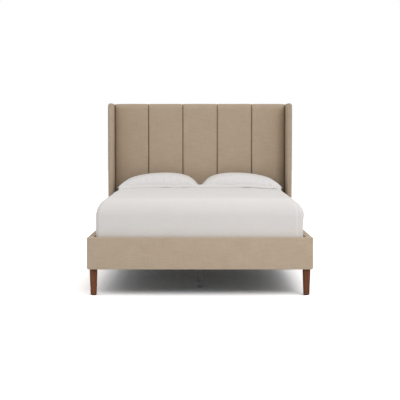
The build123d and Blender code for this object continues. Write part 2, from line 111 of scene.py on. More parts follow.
class Finish:
    """A material, and short calls that add its nodes."""

    def __init__(self, name, **sockets):
        self.material = bpy.data.materials.new(name)
        self.material.use_nodes = True
        self.tree = self.material.node_tree
        self.shader = self.tree.nodes["Principled BSDF"]
        for socket, value in sockets.items():
            self.shader.inputs[socket.replace("_", " ")].default_value = value

    def add(self, kind, inputs=(), **settings):
        return add_node(self.tree, kind, inputs, **settings)

    def scaled(self, where, scale):
        """Coordinates in metres, times the scale of each axis."""
        inputs = (("Vector", where), ("Scale", scale))
        return self.add("ShaderNodeMapping", inputs).outputs[0]

    def place(self, scale=(1, 1, 1)):
        """The piece's own coordinates, scaled."""
        return self.scaled(self.add("ShaderNodeTexCoord").outputs["Object"], scale)

    def cloth(self, scale=(1, 1, 1)):
        """The cover's cloth coordinates, scaled."""
        return self.scaled(self.add("ShaderNodeUVMap", uv_map="cloth").outputs[0], scale)

    def noise(self, where, scale, detail=3.0, rough=0.5, warp=0.0):
        """Random patches, 0 to 1, of which scale fit in a unit of the coordinates."""
        inputs = (
            ("Vector", where),
            ("Scale", scale),
            ("Detail", detail),
            ("Roughness", rough),
            ("Distortion", warp),
        )
        return self.add("ShaderNodeTexNoise", inputs).outputs["Fac"]

    def sum(self, *terms):
        """Adds up terms, each an output and the weight it has about its middle value of 0.5."""
        total = 0.5
        for output, weight in terms:
            part = work_out(self.tree, "MULTIPLY_ADD", output, weight, -0.5 * weight)
            total = work_out(self.tree, "ADD", part, total)
        return total

    def ramp(self, factor, *stops):
        return tone_ramp(self.tree, factor, stops)

    def paint(self, colour):
        """Links a colour to the shader."""
        self.tree.links.new(colour, self.shader.inputs["Base Color"])

    def painted_corner_shade(self, colour, reach, deepest):
        """Painted shade: the colour, darkened in folds and corners where little of the sky within
        reach is open. It falls to its deepest where a quarter of the sky is open, and is whole
        where 0.72 of it is."""
        open_sky = self.add("ShaderNodeAmbientOcclusion", (("Distance", reach),), samples=12)
        inputs = ((0, open_sky.outputs["AO"]), (1, 0.25), (2, 0.72), (3, deepest), (4, 1.0))
        painted_shade_share = self.add("ShaderNodeMapRange", inputs).outputs[0]
        both = ((0, colour), ("Scale", painted_shade_share))
        return self.add("ShaderNodeVectorMath", both, operation="SCALE").outputs[0]

    def rough(self, factor, low, high):
        """Roughness from low to high as the factor goes from 0 to 1."""
        inputs = ((0, factor), (3, low), (4, high))
        node = self.add("ShaderNodeMapRange", inputs)
        self.tree.links.new(node.outputs[0], self.shader.inputs["Roughness"])

    def bump(self, height, distance, strength=1.0, under=None):
        """Raises the surface by up to distance metres, over an earlier bump if one is given."""
        inputs = [("Height", height), ("Distance", distance), ("Strength", strength)]
        if under is not None:
            inputs.append(("Normal", under))
        normal = self.add("ShaderNodeBump", inputs).outputs[0]
        self.tree.links.new(normal, self.shader.inputs["Normal"])
        return normal


def timber(name, grain_axis, pale, middle, dark, rings=0.02, roughness=0.6, pores=0.0004):
    """Sawn or turned wood: broad figure, rings metres across, and fine pores, pores metres deep,
    both drawn out along the axis of its grain."""
    made = Finish(name, Roughness=roughness, Specular_IOR_Level=0.16)
    along = "xyz".index(grain_axis)
    pore_width, pore_length = 0.0016, 0.03
    figure_stretch = 0.06
    broad = [1 / rings] * 3
    broad[along] = figure_stretch / rings
    fine = [1 / pore_width] * 3
    fine[along] = 1 / pore_length
    figure = made.noise(made.place(broad), 1.0, 4.0, 0.55, 0.6)
    grain = made.noise(made.place(fine), 1.0, 2.0)
    patch = made.noise(made.place(), 3.0, 1.0)
    mixed = made.sum((figure, 1.0), (grain, 0.45), (patch, 0.35))
    made.paint(made.ramp(mixed, (0.2, dark), (0.5, middle), (0.8, pale)))
    made.rough(grain, roughness - 0.08, roughness + 0.08)
    made.bump(grain, pores)
    return made.material


def dress(material, *names):
    """Gives CAD pieces a finish in every slot."""
    for name in names:
        for slot in nodes[name].material_slots:
            slot.material = material


pine_tones = (srgb(226, 196, 150), srgb(207, 170, 120), srgb(176, 132, 84))
pine_upright = timber("pine_upright", "z", *pine_tones)
pine_across = timber("pine_across", "x", *pine_tones)
ply_tones = (srgb(221, 193, 152), srgb(205, 173, 128), srgb(180, 144, 100))
plywood_upright = timber("plywood_upright", "z", *ply_tones, rings=0.06)


def pressed_board(name):
    """Hardboard: short brown fibres pressed flat."""
    made = Finish(name, Roughness=0.6)
    fibres = made.noise(made.place(), 700.0, 3.0)
    clouds = made.noise(made.place(), 25.0, 2.0)
    mixed = made.sum((fibres, 0.5), (clouds, 0.5))
    made.paint(made.ramp(mixed, (0.2, srgb(84, 56, 36)), (0.8, srgb(128, 92, 62))))
    made.bump(fibres, 0.0002)
    made.rough(fibres, 0.5, 0.7)
    return made.material


dress(pine_upright, "headboard_post_left", "headboard_post_right")
dress(pine_across, "headboard_cross_rails")
dress(plywood_upright, "headboard_deck")
dress(pressed_board("hardboard"), "headboard_back_board")

# ---- Headboard channels
# Five upright pads of foam, each in its own sleeve of oatmeal linen, glued side by side on the
# deck. Every pad turns over the top edge and is stapled behind; the sleeves meet in deep seams.

thread_pair = 0.0022  # two threads of the linen, one over and one under
painted_shade_reach = 0.25  # how far round a fold or corner the painted shade on the linen reaches


def linen(name, tones, deepest=0.68):
    """Plain-woven oatmeal linen: over-and-under threads, thick slubs along both, soft clouds, and
    painted shade in its folds and corners. The weave is the product of a sine wave along each
    thread direction."""
    made = Finish(name, Roughness=0.9, Sheen_Weight=0.18, Sheen_Roughness=0.5)
    made.shader.inputs["Sheen Tint"].default_value = srgb(238, 226, 208)
    made.shader.inputs["Specular IOR Level"].default_value = 0.25
    turn_per_metre = 2 * math.pi / thread_pair
    axes = made.add("ShaderNodeSeparateXYZ", (("Vector", made.cloth()),)).outputs
    over_and_under = []
    for axis in (0, 1):
        phase = work_out(made.tree, "MULTIPLY", axes[axis], turn_per_metre)
        over_and_under.append(work_out(made.tree, "SINE", phase))
    crossed = work_out(made.tree, "MULTIPLY", *over_and_under)
    weave = work_out(made.tree, "MULTIPLY_ADD", crossed, 0.5, 0.5)
    weft = made.noise(made.cloth((9, 170, 1)), 1.0, 4.0, 0.65)
    warp = made.noise(made.cloth((170, 9, 1)), 1.0, 4.0, 0.65)
    fleck = made.noise(made.cloth(), 320.0, 2.0, 0.6)
    cloud = made.noise(made.place(), 9.0, 2.0, 0.5)
    mixed = made.sum((weft, 0.42), (warp, 0.26), (fleck, 0.3), (cloud, 0.12), (weave, 0.15))
    dark, middle, light = tones
    cloth_tone = made.ramp(mixed, (0.18, dark), (0.5, middle), (0.82, light))
    # painted shade: the cloth's colour is darkened in folds and corners
    made.paint(made.painted_corner_shade(cloth_tone, painted_shade_reach, deepest))
    height = made.sum((weave, 0.5), (weft, 0.5), (warp, 0.5))
    made.rough(fleck, 0.82, 0.98)
    made.bump(height, 0.0007, 0.8)
    return made.material


panel_tones = (srgb(165, 144, 121), srgb(194, 175, 152), srgb(216, 200, 181))
rail_tones_painted_lighter = (srgb(173, 152, 129), srgb(201, 182, 159), srgb(222, 207, 188))
oatmeal_linen = linen("oatmeal_linen", panel_tones)
rail_linen_painted_lighter = linen("oatmeal_linen_rails_painted_lighter", rail_tones_painted_lighter)  # the same cloth in lighter tones: light painted onto the rails


def spans(node):
    """A CAD piece's box as three (low, high) pairs, in metres."""
    low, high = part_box(node)
    return tuple(zip(low, high))


def unevenness(points, size, height, seed, waves=9):
    """A slow random unevenness over points: a sum of plane waves about size metres long, in
    random directions and phases, that reaches about height."""
    draw = np.random.default_rng(seed)
    heading = draw.normal(size=(waves, 3))
    heading /= np.linalg.norm(heading, axis=1, keepdims=True)
    stretch = draw.uniform(0.6, 1.5, waves)
    phase = draw.uniform(0, 2 * math.pi, waves)
    turns = points @ (heading * stretch[:, None]).T * (2 * math.pi / size) + phase
    return height * np.sin(turns).sum(-1) / math.sqrt(waves)


def skin(name, *grids):
    """A mesh object from grids of points, each rows by columns by XYZ. Edges that meet are welded,
    and rows that draw in to a line are closed."""
    mesh = bpy.data.meshes.new(name)
    points = np.concatenate([grid.reshape(-1, 3) for grid in grids])
    faces = []
    start = 0
    for grid in grids:
        rows, columns = grid.shape[:2]
        index = np.arange(rows * columns).reshape(rows, columns) + start
        corners = (index[:-1, :-1], index[:-1, 1:], index[1:, 1:], index[1:, :-1])
        faces.append(np.stack(corners, -1).reshape(-1, 4))
        start += rows * columns
    faces = np.concatenate(faces)
    mesh.vertices.add(len(points))
    mesh.vertices.foreach_set("co", points.astype(np.float32).ravel())
    mesh.loops.add(faces.size)
    mesh.loops.foreach_set("vertex_index", faces.astype(np.int32).ravel())
    mesh.polygons.add(len(faces))
    mesh.polygons.foreach_set("loop_start", np.arange(0, faces.size, 4, dtype=np.int32))
    mesh.update(calc_edges=True)
    shell = bmesh.new()
    shell.from_mesh(mesh)
    bmesh.ops.remove_doubles(shell, verts=shell.verts, dist=1e-5)
    bmesh.ops.dissolve_degenerate(shell, edges=shell.edges, dist=1e-6)
    bmesh.ops.recalc_face_normals(shell, faces=shell.faces)
    shell.to_mesh(mesh)
    shell.free()
    lay_cloth(mesh)
    made = bpy.data.objects.new(name, mesh)
    bpy.context.scene.collection.objects.link(made)
    return made


def lay_cloth(mesh):
    """Cloth coordinates in metres: each face takes the two axes that it faces least, so that
    threads run level and upright on it."""
    corners = np.empty(len(mesh.loops), np.int32)
    mesh.loops.foreach_get("vertex_index", corners)
    place = np.empty(len(mesh.vertices) * 3, np.float32)
    mesh.vertices.foreach_get("co", place)
    normals = np.empty(len(mesh.polygons) * 3, np.float32)
    mesh.polygons.foreach_get("normal", normals)
    totals = np.empty(len(mesh.polygons), np.int32)
    mesh.polygons.foreach_get("loop_total", totals)
    facing = np.repeat(np.abs(normals.reshape(-1, 3)).argmax(1), totals)
    pairs = np.array(((1, 2), (0, 2), (0, 1)))[facing]
    flat = np.take_along_axis(place.reshape(-1, 3)[corners], pairs, 1)
    layer = mesh.uv_layers.get("cloth") or mesh.uv_layers.new(name="cloth")
    layer.data.foreach_set("uv", flat.ravel())
    mesh.shade_smooth()


def finish_piece(piece, material, slot, body, *replaced):
    """Gives a piece its finish and the body it moves with, and hides the CAD pieces it stands for.
    The slot is not used.
    """
    piece.data.materials.clear()
    piece.data.materials.append(material)
    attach(piece, body)
    if replaced:
        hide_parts(*replaced)
    return piece


def run(start, end, count):
    """Evenly spaced values from start to end, without the end."""
    return np.linspace(start, end, count, endpoint=False)


def rounded_path(corners, radii, gap):
    """Points along a line through corners, about a gap apart on the straight runs. Each corner
    between the ends is a right angle, turned on a quarter circle of its own radius."""
    corners = np.array(corners, float)
    pieces = [corners[:1]]
    for number, radius in enumerate(radii, 1):
        back = corners[number - 1] - corners[number]
        ahead = corners[number + 1] - corners[number]
        back /= np.linalg.norm(back)
        ahead /= np.linalg.norm(ahead)
        first = corners[number] + back * radius
        centre = first + ahead * radius
        turn = np.linspace(0, math.pi / 2, 9)[:, None]
        arc = centre - ahead * radius * np.cos(turn) - back * radius * np.sin(turn)
        last = pieces[-1][-1]
        count = max(int(np.linalg.norm(first - last) / gap), 1)
        pieces.append(last + (first - last) * run(0, 1, count)[1:, None])
        pieces.append(arc)
    last = pieces[-1][-1]
    count = max(int(np.linalg.norm(corners[-1] - last) / gap), 1)
    pieces.append(last + (corners[-1] - last) * np.linspace(0, 1, count + 1)[1:, None])
    return np.concatenate(pieces)


channel_count = 5
seam_width = 0.014  # how far each pad turns down beside a seam
seam_depth = 0.020
wing_roll = (0.07, 0.015)  # width and depth of the outer pads' slope down to the wings
channel_crown = 0.003
channel_depth = 0.042  # foam and linen in front of the deck
channel_corners = (0.016, 0.024, 0.006)  # radii at the foot, the top front and the top back
full_depth = 0.04  # where a pad is at least this deep, its crown has its whole height
top_roll = (0.042, 0.016)  # height and depth of the slope back to the top edge
deck_y = spans("headboard_deck")[1]
deck_top = spans("headboard_deck")[2][1]


def channel_pad(number):
    """One channel: a section across it, carried up the front and over the top.

    The section has a low crown, 1 minus the square of the distance from its middle, and turns
    down to each seam on a quarter ellipse. The outer side of an end pad slopes down to the wing on
    a quarter ellipse as well. All of it is moved towards the nearest timber behind the path, which
    leans back near its top by a power of the height there.
    """
    cover = f"channel_cover_{number}"
    x, y, z = spans(cover)
    corners = ((deck_y[0], z[0]), (y[0], z[0]), (y[0], z[1]), (y[1], z[1]), (y[1], deck_top))
    path = rounded_path(corners, channel_corners, 0.010)
    lean = np.clip((path[:, 1] - z[1] + top_roll[0]) / top_roll[0], 0, 1) ** 1.2
    path[:, 0] += top_roll[1] * lean * np.clip((deck_y[0] - path[:, 0]) / channel_depth, 0, 1)
    timber_line = np.stack(
        (np.maximum(path[:, 0], deck_y[0]), np.minimum(path[:, 1], deck_top)), -1
    )
    inward = timber_line - path
    depth = np.linalg.norm(inward, axis=1)
    inward /= np.maximum(depth, 1e-9)[:, None]
    edge = seam_width * (1 - np.cos(np.linspace(0, math.pi / 2, 9)))
    flat = run(x[0] + seam_width, x[1] - seam_width, 32)[1:]
    across = np.concatenate((x[0] + edge, flat, (x[1] - edge)[::-1]))
    near = np.clip(np.minimum(across - x[0], x[1] - across) / seam_width, 0, 1)
    turned_in = 1 - np.sqrt(1 - (1 - near) ** 2)
    middle = (across - sum(x) / 2) / ((x[1] - x[0]) / 2)
    rise = channel_crown * (1 - middle**2)
    beside_wing = {1: x[0], channel_count: x[1]}
    if number in beside_wing:
        close = np.clip(1 - np.abs(across - beside_wing[number]) / wing_roll[0], 0, 1)
        rise = rise - wing_roll[1] * (1 - np.sqrt(1 - close**2))
    face = np.zeros((len(path), len(across), 3))
    face[..., 0] = across
    face[..., 1] = path[:, :1]
    face[..., 2] = path[:, 1:]
    full = np.clip(depth / full_depth, 0, 1)[:, None]
    uneven = unevenness(face, 0.22, 0.0006, 10 + number)
    push = turned_in * np.minimum(seam_depth, depth * 0.95)[:, None]
    push = push - (rise + uneven) * full * (1 - turned_in)
    face[..., 1] += inward[:, :1] * push
    face[..., 2] += inward[:, 1:] * push
    back = np.zeros((len(path), 2, 3))
    back[:, :, 0] = (x[1], x[0])
    back[..., 1] = timber_line[:, :1]
    back[..., 2] = timber_line[:, 1:]
    pad = skin(f"channel_{number}", np.concatenate((face, back, face[:, :1]), 1))
    finish_piece(pad, oatmeal_linen, "oatmeal_linen", "bed_frame", cover, "channel_foams")
    return pad


for number in range(1, channel_count + 1):
    channel_pad(number)

# ---- Back panel
# A single piece of the same linen, turned under and pulled flat over the hardboard, with the
# turned edge sewn down by hand along the top and both sides.

back_x, back_y, back_z = spans("headboard_back_cover")
turned_edge = 0.022  # width of the linen turned under along the edges
panel_x = np.linspace(*back_x, 120)
panel_z = np.linspace(*back_z, 100)
panel = np.zeros((len(panel_z), len(panel_x), 3))
panel[..., 0] = panel_x
panel[..., 2] = panel_z[:, None]
edge_distance = np.minimum(
    np.minimum(panel_x - back_x[0], back_x[1] - panel_x)[None, :],
    np.minimum(panel_z - back_z[0], back_z[1] - panel_z)[:, None],
)
thicker = 0.5 * (1 + np.tanh((turned_edge - edge_distance) / 0.004))
panel[..., 1] = back_y[1] - 0.0004 + 0.0012 * thicker + unevenness(panel, 0.3, 0.0004, 31)
under = panel.copy()
under[..., 1] = back_y[0]
back_rim = [np.stack((panel[row], under[row])) for row in (0, -1)]
back_rim += [np.stack((panel[:, column], under[:, column])) for column in (0, -1)]
back_panel = skin("back_panel", panel, under, *back_rim)
finish_piece(back_panel, oatmeal_linen, "oatmeal_linen", "bed_frame", "headboard_back_cover")

# ---- Wings
# A full-height board at each side, padded all round and covered in the same linen. Its front is a
# narrow strip between two seams, and its top is crowned towards the outside.


def outline(across, up, radii, insets, gap=0.012, turns=7):
    """Rounded rectangles, one row of points for each inset, as rows by points by 2.

    Corner k lies max(radius, inset) in from both of its sides and is turned on an arc of radius
    max(radius - inset, 0). The corners go lower left, lower right, upper right, upper left.
    """
    insets = np.asarray(insets, float)[:, None]
    radii = np.array(radii)
    corner = np.array(
        (
            (across[0], up[0]),
            (across[1], up[0]),
            (across[1], up[1]),
            (across[0], up[1]),
        )
    )
    inward = np.array(((1, 1), (-1, 1), (-1, -1), (1, -1)))
    reach = np.maximum(radii, insets)
    centres = corner + inward * reach[..., None]
    arc_radius = np.maximum(radii - insets, 0)
    start = math.pi * (1 + 0.5 * np.arange(4))
    angles = start[:, None] + np.linspace(0, math.pi / 2, turns)
    circle = np.stack((np.cos(angles), np.sin(angles)), -1)
    arcs = centres[:, :, None, :] + arc_radius[:, :, None, None] * circle
    pieces = []
    for number in range(4):
        pieces.append(arcs[:, number])
        first = arcs[:, number, -1]
        last = arcs[:, (number + 1) % 4, 0]
        count = max(int(np.abs(last[0] - first[0]).max() / gap), 2)
        share = np.linspace(0, 1, count)[1:-1, None]
        pieces.append(first[:, None] + (last - first)[:, None] * share)
    pieces.append(arcs[:, 0, :1])
    return np.concatenate(pieces, 1)


def padded_bar(x, y, z, radii, lips, swell, bulge, seed, gap=0.014):
    """A bar along Y with a rounded section, as the grid of its whole skin.

    Each end is turned in on an arc of its lip, then closed over to the middle of the section. The
    sides swell by 1 minus the fourth power of the distance from their middle, less near the ends,
    and the front bulges by 1 minus the square of how near its edge is.
    """
    bulge_edge = 0.05  # the front reaches its full bulge this far in
    swell_edge = 0.03  # the sides reach their full swell this far from an end
    half = min(x[1] - x[0], z[1] - z[0]) / 2
    turn = np.linspace(0, math.pi / 2, 7)
    front, back = lips
    end = y[1] - y[0]
    cap = np.linspace(0, half - front, max(int(half / gap), 6))[1:]
    straight = np.arange(front, end - back, gap)[1:]
    insets = np.concatenate(
        (
            front + cap[::-1],
            front * (1 - np.sin(turn)),
            0 * straight,
            back * (1 - np.cos(turn)),
            back + (half - back) * np.linspace(0, 1, 6)[1:],
        )
    )
    depth = np.concatenate(
        (
            0 * cap,
            front * (1 - np.cos(turn)),
            straight,
            end - back * (1 - np.sin(turn)),
            end + 0 * turn[:5],
        )
    )
    section = outline(x, z, radii, insets, gap)
    grid = np.zeros((*section.shape[:2], 3))
    grid[..., 0] = section[..., 0]
    grid[..., 2] = section[..., 1]
    grid[..., 1] = y[0] + depth[:, None]
    inner = np.clip((insets - front) / min(half - front, bulge_edge), 0, 1)
    forward = (depth <= 0) * (1 - (1 - inner) ** 2)
    uneven = unevenness(grid, 0.25, 0.0006, seed)
    grid[..., 1] -= forward[:, None] * (bulge + uneven)
    middle = np.array((sum(x) / 2, 0, sum(z) / 2))
    size = np.array(((x[1] - x[0]) / 2, 1, (z[1] - z[0]) / 2))
    away = (grid - middle) / size
    along = np.clip(np.minimum(depth, end - depth) / swell_edge, 0, 1)[:, None]
    narrow = 0 if x[1] - x[0] < z[1] - z[0] else 2
    puff = swell * (1 - np.clip(np.abs(away[..., 2 - narrow]), 0, 1) ** 4)
    side = np.sign(away[..., narrow]) * np.clip(np.abs(away[..., narrow]), 0, 1)
    grid[..., narrow] += (puff + uneven) * along * side
    return grid


wing_top_drop = 0.003  # the cover is pulled down a little over the wing's top
wing_slack = 0.003  # gap left between the wing's cover and the end channel's cover
wing_taper = 0.0045  # how much narrower the wing is at its front than beside the channels
wing_lip = (0.018, 0.009)  # depth and width of the rounding of its front inner edge
wing_edge = 0.008  # radius of its long edges
wing_crown = 0.026  # radius of its top outer edge
wing_linen = linen("oatmeal_linen_wings", panel_tones, 0.85)  # a copy with lighter painted shade in its corners


def wing(side):
    """A wing's padded cover. Its inner side draws in evenly towards the front, and more within
    its lip, by the square of the share of the lip's depth that is left."""
    x, y, z = spans(f"wing_cover_{side}")
    z = (z[0], z[1] - wing_top_drop)
    if side == "right":
        x = (x[0] + wing_slack, x[1])
        outer = x[1]
        radii = (wing_edge, wing_edge, wing_crown, wing_edge)
    else:
        x = (x[0], x[1] - wing_slack)
        outer = x[0]
        radii = (wing_edge, wing_edge, wing_edge, wing_crown)
    grid = padded_bar(x, y, z, radii, (0.012, 0.003), swell=0.0012, bulge=0.004, seed=41)
    forward = np.clip((deck_y[0] - grid[..., 1]) / (deck_y[0] - y[0]), 0, 1)
    lip = np.clip(1 - (grid[..., 1] - y[0]) / wing_lip[0], 0, 1) ** 2
    drawn_in = wing_taper * forward + wing_lip[1] * lip
    grid[..., 0] -= (grid[..., 0] - outer) * drawn_in / (x[1] - x[0])
    pad = skin(f"wing_{side}", grid)
    finish_piece(
        pad,
        wing_linen,
        "oatmeal_linen",
        "bed_frame",
        f"wing_cover_{side}",
        f"wing_foam_{side}",
    )
    return pad


for side in ("left", "right"):
    wing(side)
dress(plywood_upright, "wing_board_left", "wing_board_right")

# ---- Rails
# Plywood boards with foam on the face and the top, in the same linen. The foot rail runs right
# across the bed; the side rails butt against its back and against the fronts of the wings.


def covered_rail(name, cover, foam, radii, bulge, seed):
    """A rail's padded cover, in the space of its CAD cover and foam."""
    lips = (0.003, 0.003)
    pad = skin(name, padded_bar(*spans(cover), radii, lips, 0.0012, bulge, seed))
    # the rails' linen has light painted into it: lighter tones of the same cloth
    finish_piece(pad, rail_linen_painted_lighter, "oatmeal_linen", "bed_frame", cover, foam)
    return pad


covered_rail(
    "foot_rail",
    "foot_rail_cover",
    "foot_rail_foam",
    radii=(0.013, 0.013, 0.004, 0.004),
    bulge=0.0015,
    seed=51,
)
for side in ("left", "right"):
    covered_rail(
        f"side_rail_{side}",
        f"side_rail_cover_{side}",
        f"side_rail_foam_{side}",
        radii=(0.004, 0.004, 0.007, 0.007),
        bulge=0.0,
        seed=61,
    )
plywood_along = timber("plywood_along", "y", *ply_tones, rings=0.06)
plywood_across = timber("plywood_across", "x", *ply_tones, rings=0.06)
dress(plywood_across, "foot_rail_board")
dress(plywood_along, "side_rail_board_left", "side_rail_board_right")

# ---- Legs
# Four walnut legs, turned to a taper and oiled. Each screws up into a round steel plate under the
# frame and stands on a nylon glide.

walnut = timber(
    "walnut",
    "z",
    srgb(150, 97, 66),
    srgb(118, 73, 49),
    srgb(80, 46, 31),
    rings=0.016,
    roughness=0.55,
    pores=0.0002,
)


def turned(name, axis, profile, around=64):
    """A turned piece: a profile of (radius, height) pairs carried round an upright axis."""
    angle = np.linspace(0, 2 * math.pi, around + 1)
    profile = np.array(profile)
    grid = np.zeros((len(profile), around + 1, 3))
    grid[..., 0] = axis[0] + profile[:, :1] * np.cos(angle)
    grid[..., 1] = axis[1] + profile[:, :1] * np.sin(angle)
    grid[..., 2] = profile[:, 1:]
    return skin(name, grid)


foot_radius = 0.0225


def turned_leg(node):
    """A leg in the space of its CAD node: a straight taper between small rounded edges."""
    x, y, z = spans(node)
    top_radius = (x[1] - x[0]) / 2
    share = np.linspace(0, 1, 22)[1:-1]
    shaft = zip(foot_radius + (top_radius - foot_radius) * share, z[0] + (z[1] - z[0]) * share)
    profile = [
        (0, z[0]),
        (foot_radius - 0.003, z[0]),
        (foot_radius - 0.0012, z[0] + 0.0006),
        (foot_radius, z[0] + 0.003),
        *shaft,
        (top_radius - 0.0002, z[1] - 0.002),
        (top_radius - 0.0015, z[1]),
        (0, z[1]),
    ]
    leg = turned(node.replace("_leg", "_turned_leg"), (sum(x) / 2, sum(y) / 2), profile)
    finish_piece(leg, walnut, "walnut", "bed_frame", node)


for node in ("front_leg_left", "front_leg_right", "rear_leg_left", "rear_leg_right"):
    turned_leg(node)


def moulded(name, tone):
    """Moulded nylon: a fine even grain, and soft clouds of a tone up to 1.8 times as light."""
    made = Finish(name, Roughness=0.5)
    grain = made.noise(made.place(), 900.0, 2.0)
    cloud = made.noise(made.place(), 40.0, 2.0)
    mixed = made.sum((grain, 0.3), (cloud, 0.3))
    lighter = tuple(min(part * 1.8, 1) for part in tone[:3]) + (1.0,)
    made.paint(made.ramp(mixed, (0.2, tone), (0.8, lighter)))
    made.rough(grain, 0.42, 0.58)
    made.bump(grain, 0.0001)
    return made.material


dress(moulded("black_nylon", srgb(24, 24, 25)), "leg_glides")

# ---- Steel fittings
# Black-painted brackets and plates, grey-painted support legs with nylon levelling feet, and
# zinc-plated bolts and studs.


def painted_steel(name, dark, light):
    """Powder paint: a low orange-peel surface, dusty in places."""
    made = Finish(name, Roughness=0.45, Metallic=0.0, Specular_IOR_Level=0.3)
    peel = made.noise(made.place(), 420.0, 2.0)
    dust = made.noise(made.place(), 60.0, 4.0, 0.7)
    mixed = made.sum((peel, 0.3), (dust, 0.6))
    made.paint(made.ramp(mixed, (0.2, dark), (0.8, light)))
    made.rough(dust, 0.4, 0.6)
    made.bump(peel, 0.00015)
    return made.material


def plated_steel(name):
    """Zinc plate: bright grey with a fine spangle."""
    made = Finish(name, Roughness=0.35, Metallic=1.0)
    spangle = made.noise(made.place(), 350.0, 3.0)
    stain = made.noise(made.place(), 70.0, 3.0)
    mixed = made.sum((spangle, 0.5), (stain, 0.5))
    made.paint(made.ramp(mixed, (0.2, srgb(140, 142, 146)), (0.8, srgb(196, 198, 200))))
    made.rough(spangle, 0.26, 0.44)
    made.bump(spangle, 0.00005)
    return made.material


dress(
    painted_steel("black_steel", srgb(22, 22, 23), srgb(44, 43, 42)),
    "beam_hangers",
    "foot_corner_bracket_left",
    "foot_corner_bracket_right",
    "rail_joint_plate_left",
    "rail_joint_plate_right",
    "leg_plates",
)
dress(
    painted_steel("grey_steel", srgb(129, 132, 138), srgb(145, 147, 152)),
    "support_leg_1",
    "support_leg_2",
    "support_leg_3",
)
dress(plated_steel("zinc_steel"), "rail_bolts", "wing_bolts", "leg_studs")
dress(moulded("grey_nylon", srgb(124, 129, 140)), "leveller_1", "leveller_2", "leveller_3")

# ---- Slats
# Thirteen pine slats lie across two ledgers and a centre beam. Two strips of webbing are stapled
# along their undersides to keep them apart.

pine_along = timber("pine_along", "y", *pine_tones)
dress(pine_across, "slats")
dress(pine_along, "slat_ledger_left", "slat_ledger_right", "centre_beam")


def woven_webbing(name):
    """Woven webbing: fine ribs across it and threads along it."""
    made = Finish(name, Roughness=0.85, Sheen_Weight=0.1)
    ribs = made.noise(made.place((60, 900, 60)), 1.0, 1.0)
    warp = made.noise(made.place((1200, 20, 60)), 1.0, 2.0)
    mixed = made.sum((ribs, 0.6), (warp, 0.6))
    made.paint(made.ramp(mixed, (0.2, srgb(52, 50, 47)), (0.8, srgb(92, 88, 82))))
    made.bump(made.sum((ribs, 0.6), (warp, 0.4)), 0.0004)
    made.rough(ribs, 0.75, 0.95)
    return made.material


webbing_x, webbing_y, webbing_z = spans("slat_webbing")
strip_width = 0.030
strip_thickness = 0.001
strip_sag = (0.16, 0.0006)  # length and depth of the waves that it sags in
strip_run = np.linspace(*webbing_y, 160)
# Its section in widths and thicknesses: three points underneath, three on top, and the first again
strip_ring = np.array(((0, 0), (0.5, -0.1), (1, 0), (1, 1), (0.5, 1), (0, 1), (0, 0)))
strips = []
for low in (webbing_x[0], webbing_x[1] - strip_width):
    strip = np.zeros((len(strip_run), len(strip_ring), 3))
    strip[..., 0] = low + strip_ring[:, 0] * strip_width
    strip[..., 1] = strip_run[:, None]
    sag = strip_sag[1] * np.sin(strip_run * 2 * math.pi / strip_sag[0])[:, None]
    underneath = strip_ring[:, 1] < 1
    strip[..., 2] = webbing_z[0] + strip_ring[:, 1] * strip_thickness + sag * underneath
    ends = [np.stack((strip[row, :3], strip[row, 5:2:-1])) for row in (0, -1)]
    strips += [strip, *ends]
webbing = skin("slat_straps", *strips)
finish_piece(webbing, woven_webbing("webbing"), "webbing", "bed_frame", "slat_webbing")

# ---- Mattress
# A sprung mattress with a softly rounded top and foot, in a white knitted cover that is drawn
# tight over it. It lies loose on the slats, between the rails.


def bedding_white(name, tone, wrinkle):
    """White bed linen: a close weave, soft creases up to wrinkle metres high, and a tone that
    falls by a twentieth in patches."""
    made = Finish(name, Roughness=0.8, Sheen_Weight=0.12, Sheen_Roughness=0.4)
    made.shader.inputs["Specular IOR Level"].default_value = 0.3
    threads = made.noise(made.cloth((900, 1500, 1)), 1.0, 1.0)
    soft = made.noise(made.place(), 7.0, 3.0, 0.6, 0.4)
    fine = made.noise(made.place((1, 1, 1.6)), 34.0, 3.0, 0.6, 0.6)
    mixed = made.sum((soft, 0.45), (threads, 0.35), (fine, 0.3))
    deep = tuple(part * 0.95 for part in tone[:3]) + (1.0,)
    made.paint(made.ramp(mixed, (0.2, deep), (0.7, tone)))
    creases = made.sum((soft, 0.8), (fine, 0.35))
    first = made.bump(creases, wrinkle)
    made.bump(threads, 0.00025, 0.6, under=first)
    made.rough(fine, 0.74, 0.9)
    return made.material


ticking = bedding_white("ticking", srgb(232, 230, 226), 0.002)

pad_gap = 0.02  # between the points of its outline
pad_base = 0.025  # radius of the mattress's lower edge
pad_shoulder = (0.12, 0.162)  # depth and height of its rounded upper edge
pad_corners = (0.13, 0.13, 0.04, 0.04)  # radii of its upright corners, from the left foot round
pad_top_drop = 0.002  # it lies this far below its CAD cover's top, clear of the coverlet


